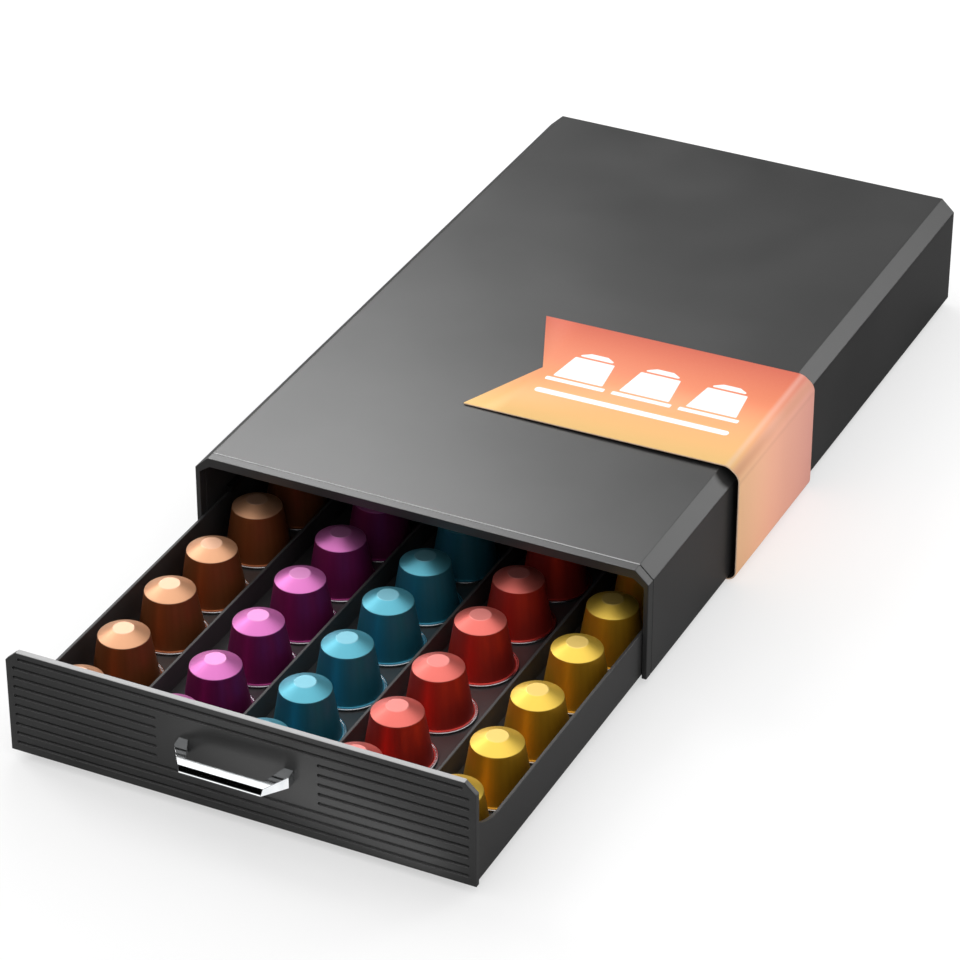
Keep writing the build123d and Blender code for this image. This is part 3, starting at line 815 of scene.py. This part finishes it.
def band_motif():
    """Plain capsules in a row over a bar, in white ink on the band's top."""
    shape = bmesh.new()
    foot_y = band_middle_y + icon_row_y
    body_y = foot_y + icon_flange_height + icon_gap
    cone_y = body_y + icon_body_height + icon_gap
    for i in range(icon_count):
        x = icon_row_x + (i - (icon_count - 1) / 2) * icon_pitch
        for corners in (
            taper(x, foot_y, icon_flange_height, icon_flange, icon_flange),
            taper(x, body_y, icon_body_height, icon_base, icon_shoulder),
            taper(x, cone_y, icon_cone_height, icon_shoulder, icon_crown),
        ):
            ink_patch(shape, corners, icon_round)
    bar_y = foot_y - bar_drop - bar_width
    ink_patch(shape, taper(icon_row_x, bar_y, bar_width, bar_length, bar_length), bar_round)
    bmesh.ops.recalc_face_normals(shape, faces=shape.faces)
    piece_from(shape, "band_motif", "band", [white_ink])


card_band()
band_motif()


# Handle

def mirrored(points):
    """Each point and its twin on the other side of the object, by name."""
    twins = {f"{name}_left": (-x, y, z) for name, (x, y, z) in points.items()}
    return {**{f"{name}_right": point for name, point in points.items()}, **twins}


def handle_points():
    """The corners of the handle's casting. The top is one slope down to the leaning face."""
    low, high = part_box("handle")
    root, tip = high.y, low.y
    inner_y = root - finger_depth
    knee_y = root - leg_straight
    face_y = tip + face_lean
    slope = top_fall / (root - face_y)
    half = high.x
    lean_x = bar_half + (half - bar_half) * face_lean / (knee_y - tip)
    plan = {
        "root_inner": (half - leg_width, root),
        "root_outer": (half, root),
        "knee": (half, knee_y),
        "bar_inner": (bar_inner_half, inner_y),
    }
    points = {f"low_{name}": (x, y, low.z) for name, (x, y) in plan.items()}
    points |= {f"top_{name}": (x, y, high.z - slope * (root - y)) for name, (x, y) in plan.items()}
    points["low_tip"] = (bar_half, tip, low.z)
    points["lip_tip"] = (bar_half, tip, low.z + lip_height)
    points["top_tip"] = (lean_x, face_y, high.z - top_fall)
    return mirrored(points)


def bored_face(shape, rim, centre):
    """Adds the face between a rim of corners and a blind bore, which runs in along -Y."""
    radius = bore_dia / 2
    turns = [2 * pi * i / bore_segments for i in range(bore_segments)]
    spots = [(centre.x + radius * cos(a), centre.y, centre.z + radius * sin(a)) for a in turns]
    mouth = [shape.verts.new(spot) for spot in spots]
    bed = [shape.verts.new((v.co.x, v.co.y - bore_depth, v.co.z)) for v in mouth]
    for i in range(bore_segments):
        shape.faces.new([mouth[i - 1], mouth[i], bed[i], bed[i - 1]])
    shape.faces.new(bed)
    edges = [shape.edges.get((rim[i - 1], rim[i])) for i in range(len(rim))]
    edges += [shape.edges.get((mouth[i - 1], mouth[i])) for i in range(bore_segments)]
    bmesh.ops.triangle_fill(shape, edges=edges, use_beauty=True)


def pull_handle():
    """The handle: two legs, two sloped corners and a front bar that ends in an upright lip."""
    shape = bmesh.new()
    verts = {name: shape.verts.new(place) for name, place in handle_points().items()}
    for side in ("right", "left"):
        for names in (
            ("low_root_inner", "low_root_outer", "low_knee", "low_bar_inner"),
            ("low_knee", "low_tip", "low_bar_inner"),
            ("top_root_inner", "top_root_outer", "top_knee", "top_bar_inner"),
            ("top_knee", "top_tip", "top_bar_inner"),
            ("low_root_outer", "low_knee", "top_knee", "top_root_outer"),
            ("low_knee", "low_tip", "lip_tip", "top_tip", "top_knee"),
            ("low_root_inner", "low_bar_inner", "top_bar_inner", "top_root_inner"),
        ):
            shape.faces.new([verts[f"{name}_{side}"] for name in names])
        root = ("low_root_inner", "low_root_outer", "top_root_outer", "top_root_inner")
        rim = [verts[f"{name}_{side}"] for name in root]
        bored_face(shape, rim, (rim[0].co + rim[2].co) / 2)
    for low, high in (
        ("low_tip", "lip_tip"),
        ("lip_tip", "top_tip"),
        ("top_tip", "top_bar_inner"),
        ("top_bar_inner", "low_bar_inner"),
        ("low_bar_inner", "low_tip"),
    ):
        names = (f"{low}_right", f"{low}_left", f"{high}_left", f"{high}_right")
        shape.faces.new([verts[name] for name in names])
    bmesh.ops.recalc_face_normals(shape, faces=shape.faces)
    piece = piece_from(shape, "chromed_pull", "drawer", [chrome], ["handle"], face_angle)
    soft = piece.modifiers.new("soft_edges", "BEVEL")
    soft.width = handle_edge
    soft.segments = 3
    soft.limit_method = "ANGLE"
    soft.angle_limit = radians(face_angle)
    soft.harden_normals = True


pull_handle()


# Screws

def cross_screw(shape, centre, top_y, profile):
    """Adds one screw that lies along Y with its head at the rear, and a cross recess in the head."""
    first = len(shape.verts)
    rings = turn_profile(shape, profile, Vector(), screw_segments)
    half = recess_width / 2
    corner = [(recess_arm, -half), (recess_arm, half), (half, half)]
    quarter_turns = [(1, 0), (0, 1), (-1, 0), (0, -1)]
    cross = [(x * c - y * s, x * s + y * c) for c, s in quarter_turns for x, y in corner]
    mouth = [shape.verts.new((x, y, 0.0)) for x, y in cross]
    bed = [shape.verts.new((x * recess_taper, y * recess_taper, -recess_depth)) for x, y in cross]
    for i in range(len(cross)):
        shape.faces.new([mouth[i - 1], mouth[i], bed[i], bed[i - 1]])
    shape.faces.new(bed)
    rim = [shape.edges.get((rings[0][i - 1], rings[0][i])) for i in range(screw_segments)]
    rim += [shape.edges.get((mouth[i - 1], mouth[i])) for i in range(len(cross))]
    bmesh.ops.triangle_fill(shape, edges=rim, use_beauty=True)
    shape.verts.ensure_lookup_table()
    lay = Matrix.Translation((centre.x, top_y, centre.z)) @ Matrix.Rotation(radians(-90), 4, "X")
    bmesh.ops.transform(shape, matrix=lay, verts=shape.verts[first:])


def screws(node, name, body, countersunk):
    """The screws of one node, as round heads or as countersunk ones."""
    shape = bmesh.new()
    for low, high in solid_boxes(node):
        head = (high.x - low.x) / 2
        shank = shank_dia / 2
        length = high.y - low.y
        under = [(shank, -sunk_height)] if countersunk else [(head, -head_height), (shank, -head_height)]
        points = [(head - head_edge, 0.0), (head, 0.0), *under, (shank, -length), (0.0, -length)]
        corner = sunk_round if countersunk else head_round
        radii = [0.0, corner, *[0.0] * len(under), thread_chamfer, 0.0]
        cross_screw(shape, (low + high) / 2, high.y, rounded(points, radii, steps=3))
    bmesh.ops.recalc_face_normals(shape, faces=shape.faces)
    piece_from(shape, name, body, [zinc_plate], [node])


screws("rear_screws", "rear_cross_screws", "case", countersunk=True)
screws("panel_screws", "panel_cross_screws", "drawer", countersunk=False)
screws("handle_screws", "handle_cross_screws", "drawer", countersunk=False)


# Rubber feet

def foot(node):
    """One moulded rubber foot: a soft edge and a shallow hollow in its underside."""
    low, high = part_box(node)
    radius = (high.x - low.x) / 2
    height = high.z - low.z
    points = [
        (0.0, foot_hollow_depth),
        (foot_hollow_dia / 2, foot_hollow_depth),
        (foot_hollow_dia / 2, 0.0),
        (radius, 0.0),
        (radius, height),
        (0.0, height),
    ]
    profile = rounded(points, [0.0, foot_edge, foot_edge, foot_edge, foot_edge, 0.0], steps=4)
    shape = bmesh.new()
    place = Vector(((low.x + high.x) / 2, (low.y + high.y) / 2, low.z))
    turn_profile(shape, profile, place, foot_segments)
    bmesh.ops.recalc_face_normals(shape, faces=shape.faces)
    piece_from(shape, f"rubber_{node}", "case", [foot_rubber], [node])


for end in ("front", "rear"):
    for side in ("left", "right"):
        foot(f"foot_{end}_{side}")


# Stage, light and camera

def world_light(strength, shine, dim, bright):
    """Even light, plain white for the camera, and a dark horizon under a bright roof in reflections."""
    world = bpy.data.worlds.new("studio")
    bpy.context.scene.world = world
    world.use_nodes = True
    tree = world.node_tree
    tree.nodes.clear()
    path = add(tree, "ShaderNodeLightPath").outputs
    aim = add(tree, "ShaderNodeTexCoord").outputs["Generated"]
    height = add(tree, "ShaderNodeSeparateXYZ", {"Vector": aim}).outputs["Z"]
    stops = [(0.48, dim), (0.64, "#9B9B9B"), (0.78, bright)]
    room = add(tree, "ShaderNodeValToRGB", {"Fac": height}, stops).outputs["Color"]
    light = add(tree, "ShaderNodeBackground", {"Strength": strength, "Color": linear("#FFFFFF")})
    shown = add(tree, "ShaderNodeBackground", {"Strength": shine, "Color": room})
    white = add(tree, "ShaderNodeBackground", {"Strength": 1.0, "Color": linear("#FFFFFF")})
    parts = {0: path["Is Glossy Ray"], 1: light.outputs["Background"], 2: shown.outputs["Background"]}
    unseen = add(tree, "ShaderNodeMixShader", parts)
    parts = {0: path["Is Camera Ray"], 1: unseen.outputs["Shader"], 2: white.outputs["Background"]}
    both = add(tree, "ShaderNodeMixShader", parts)
    add(tree, "ShaderNodeOutputWorld", {"Surface": both.outputs["Shader"]})


def softbox(name, place, size, watts, only=(), spared=()):
    """A soft lamp of one width and height, turned towards the object.

    It can light only some pieces, or all but the spared ones.
    """
    lamp = bpy.data.lights.new(name, "AREA")
    lamp.shape = "RECTANGLE"
    lamp.size, lamp.size_y = size
    lamp.energy = watts
    holder = bpy.data.objects.new(name, lamp)
    bpy.context.scene.collection.objects.link(holder)
    holder.location = place
    holder.rotation_euler = (Vector(lamp_aim) - Vector(place)).to_track_quat("-Z", "Y").to_euler()
    if only or spared:
        chosen = bpy.data.collections.new(f"pieces_for_{name}")
        for piece in only or spared:
            chosen.objects.link(piece)
        for member in chosen.collection_objects:
            member.light_linking.link_state = "INCLUDE" if only else "EXCLUDE"
        holder.light_linking.receiver_collection = chosen


def floor(paint, lift, bounced):
    """A wide pale floor. What the camera sees of it is lifted to white, and its shadow stays.

    Its reflection tones and the glowing pool in them are painted: reflections show it grey, black well ahead
    of the drawer and white in one pool of light.
    """
    mesh = bpy.data.meshes.new("floor")
    signs = [(-1, -1), (1, -1), (1, 1), (-1, 1)]
    corners = [(floor_half * x, floor_half * y, 0) for x, y in signs]
    mesh.from_pydata(corners, [], [(0, 1, 2, 3)])
    piece = bpy.data.objects.new("floor", mesh)
    bpy.context.scene.collection.objects.link(piece)
    material = bpy.data.materials.new("matt_painted_floor")
    material.use_nodes = True
    tree = material.node_tree
    tree.nodes.clear()
    path = add(tree, "ShaderNodeLightPath").outputs
    place = add(tree, "ShaderNodeTexCoord").outputs["Object"]
    depth = add(tree, "ShaderNodeSeparateXYZ", {"Vector": place}).outputs["Y"]
    along = {"Value": depth, "From Min": -tone_reach, "From Max": tone_reach}
    fac = add(tree, "ShaderNodeMapRange", along).outputs["Result"]
    stops = [(0.04, "#000000"), (0.08, "#7C7C7C"), (0.25, "#7C7C7C"), (0.4, "#989898"), (0.8, "#6C6C6C")]
    grey = add(tree, "ShaderNodeValToRGB", {"Fac": fac}, stops).outputs["Color"]
    aim = {"Vector": place, "Location": pool_place, "Rotation": (0.0, 0.0, pool_turn), "Scale": pool_size}
    pool = add(tree, "ShaderNodeMapping", aim, vector_type="TEXTURE").outputs["Vector"]
    away = add(tree, "ShaderNodeVectorMath", {0: pool}, operation="LENGTH").outputs["Value"]
    edge = {"Value": away, "From Min": pool_edge, "From Max": 1.0}
    lit = add(tree, "ShaderNodeMapRange", edge).outputs["Result"]
    parts = {"Factor": lit, "A": grey, "B": linear("#FFFFFF")}
    painted_reflection = add(tree, "ShaderNodeMix", parts, data_type="RGBA").outputs["Result"]
    parts = {"Factor": path["Is Glossy Ray"], "A": linear(bounced), "B": painted_reflection}
    unseen = add(tree, "ShaderNodeMix", parts, data_type="RGBA").outputs["Result"]
    parts = {"Factor": path["Is Camera Ray"], "A": unseen, "B": linear(paint)}
    tint = add(tree, "ShaderNodeMix", parts, data_type="RGBA").outputs["Result"]
    seen = add(tree, "ShaderNodeMath", {0: path["Is Camera Ray"], 1: lift}, operation="MULTIPLY")
    glossy = add(tree, "ShaderNodeMath", {0: path["Is Glossy Ray"], 1: lit}, operation="MULTIPLY")
    parts = {0: glossy.outputs["Value"], 1: painted_pool_glow, 2: seen.outputs["Value"]}
    amount = add(tree, "ShaderNodeMath", parts, operation="MULTIPLY_ADD")
    matt = add(tree, "ShaderNodeBsdfDiffuse", {"Color": tint})
    glow = add(tree, "ShaderNodeEmission", {"Strength": amount.outputs["Value"]})
    both = add(tree, "ShaderNodeAddShader", {0: matt.outputs["BSDF"], 1: glow.outputs["Emission"]})
    add(tree, "ShaderNodeOutputMaterial", {"Surface": both.outputs["Shader"]})
    mesh.materials.append(material)


def camera():
    """The camera at the photograph's viewing angle, level with no roll."""
    lens = bpy.data.cameras.new("camera")
    lens.sensor_width = sensor_width
    lens.lens = lens_length
    holder = bpy.data.objects.new("camera", lens)
    bpy.context.scene.collection.objects.link(holder)
    holder.location = camera_place
    holder.rotation_euler = (camera_tilt, 0.0, camera_turn)
    bpy.context.scene.camera = holder


bpy.context.scene.view_settings.view_transform = "Standard"
world_light(strength=0.95, shine=1.7, dim="#101010", bright="#FFFFFF")
case_pieces = [nodes[node] for node in node_finishes[case_abs]]
# The case has a lamp of its own, which fades its roof from front to back, and so have the cups.
softbox("key_light", (-0.677, 0.877, 0.75), size=(0.45, 0.9), watts=2.8, spared=case_pieces)
softbox("roof_light", (-0.424, 0.374, 0.745), size=(0.51, 0.63), watts=7.6, only=case_pieces)
softbox("left_light", (-1.1, 0.1, 0.9), size=(0.5, 0.5), watts=5.0)
softbox("side_light", (1.07, 1.37, 0.73), size=(0.6, 0.6), watts=6.0, spared=cup_pieces)
softbox("cup_light", (-0.85, 0.7, 0.55), size=(0.3, 0.3), watts=2.6, only=cup_pieces)
floor(paint="#B4B4B4", lift=0.515, bounced="#EEEEEE")
camera()
